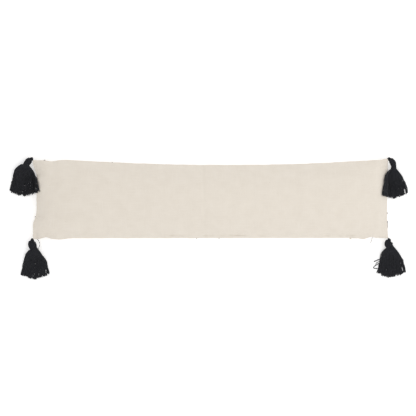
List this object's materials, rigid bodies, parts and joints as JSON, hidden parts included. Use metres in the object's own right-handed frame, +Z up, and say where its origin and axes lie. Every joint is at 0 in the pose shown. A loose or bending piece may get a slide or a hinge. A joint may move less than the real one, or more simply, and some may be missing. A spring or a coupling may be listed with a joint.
{
  "type": "throw pillow",
  "caption": "Extra-long lumbar throw pillow in plain natural cotton with a concealed zip and a chunky dark yarn tassel at each corner.",
  "frame": {"origin": "middle of the flat underside on which the pillow lies", "axes": "+X along the length, +Y across the height, away from the zip, +Z up through the thickness"},
  "size_m": [1.348, 0.4086, 0.12],
  "materials": {
    "cream_cotton": "matte",
    "white_ticking": "matte",
    "polyester_fibre": "matte",
    "zipper_tape": "matte",
    "zipper_nylon": "satin",
    "zipper_metal": "satin",
    "black_yarn": "matte",
    "cream_thread": "matte"
  },
  "bodies": {
    "pillow": {"cover_back_panel": "cream_cotton", "cover_front_panel": "cream_cotton", "cover_seam_allowance": "cream_cotton", "insert_back_panel": "white_ticking", "insert_front_panel": "white_ticking", "fibre_fill": "polyester_fibre", "zipper_tape_upper": "zipper_tape", "zipper_tape_lower": "zipper_tape", "zipper_coil_upper": "zipper_nylon", "zipper_coil_lower": "zipper_nylon", "zipper_stop_closed": "zipper_nylon", "zipper_stop_open": "zipper_nylon", "tassel_tl_anchor_thread": "cream_thread", "tassel_tr_anchor_thread": "cream_thread", "tassel_bl_anchor_thread": "cream_thread", "tassel_br_anchor_thread": "cream_thread"},
    "zipper_slider": {"zipper_slider": "zipper_metal"},
    "zipper_pull_tab": {"zipper_pull_tab": "zipper_metal"},
    "tassel_tl_loop": {"tassel_tl_hanging_loop": "black_yarn"},
    "tassel_tl": {"tassel_tl_head": "black_yarn", "tassel_tl_neck_binding": "black_yarn", "tassel_tl_skirt": "black_yarn"},
    "tassel_tr_loop": {"tassel_tr_hanging_loop": "black_yarn"},
    "tassel_tr": {"tassel_tr_head": "black_yarn", "tassel_tr_neck_binding": "black_yarn", "tassel_tr_skirt": "black_yarn"},
    "tassel_bl_loop": {"tassel_bl_hanging_loop": "black_yarn"},
    "tassel_bl": {"tassel_bl_head": "black_yarn", "tassel_bl_neck_binding": "black_yarn", "tassel_bl_skirt": "black_yarn"},
    "tassel_br_loop": {"tassel_br_hanging_loop": "black_yarn"},
    "tassel_br": {"tassel_br_head": "black_yarn", "tassel_br_neck_binding": "black_yarn", "tassel_br_skirt": "black_yarn"}
  },
  "joints": [
    {"name": "zipper_travel", "type": "slide", "parent": "pillow", "child": "zipper_slider", "axis": [1, 0, 0], "range_m": [-0.94, 0]},
    {"name": "pull_tab_flip", "type": "hinge", "parent": "zipper_slider", "child": "zipper_pull_tab", "pos_m": [0.47, -0.1349, 0.048], "axis": [0, 0, -1], "range_deg": [0, 175]},
    {"name": "tassel_tl_swing", "type": "hinge", "parent": "pillow", "child": "tassel_tl_loop", "pos_m": [-0.6015, 0.1365, 0.03], "axis": [0, 0, 1], "range_deg": [-170, 0]},
    {"name": "tassel_tl_lift", "type": "hinge", "parent": "tassel_tl_loop", "child": "tassel_tl", "pos_m": [-0.60563, 0.13188, 0.03], "axis": [-0.7452, 0.6668, 0], "range_deg": [0, 80]},
    {"name": "tassel_tr_swing", "type": "hinge", "parent": "pillow", "child": "tassel_tr_loop", "pos_m": [0.6015, 0.1365, 0.03], "axis": [0, 0, 1], "range_deg": [0, 170]},
    {"name": "tassel_tr_lift", "type": "hinge", "parent": "tassel_tr_loop", "child": "tassel_tr", "pos_m": [0.60405, 0.13085, 0.03], "axis": [-0.9117, -0.4109, 0], "range_deg": [0, 80]},
    {"name": "tassel_bl_swing", "type": "hinge", "parent": "pillow", "child": "tassel_bl_loop", "pos_m": [-0.6015, -0.1365, 0.03], "axis": [0, 0, 1], "range_deg": [-150, 60]},
    {"name": "tassel_bl_lift", "type": "hinge", "parent": "tassel_bl_loop", "child": "tassel_bl", "pos_m": [-0.60015, -0.14255, 0.03], "axis": [-0.9758, -0.2185, 0], "range_deg": [0, 80]},
    {"name": "tassel_br_swing", "type": "hinge", "parent": "pillow", "child": "tassel_br_loop", "pos_m": [0.6015, -0.1365, 0.03], "axis": [0, 0, 1], "range_deg": [-60, 150]},
    {"name": "tassel_br_lift", "type": "hinge", "parent": "tassel_br_loop", "child": "tassel_br", "pos_m": [0.60313, -0.14248, 0.03], "axis": [-0.9648, -0.2631, 0], "range_deg": [0, 80]}
  ]
}
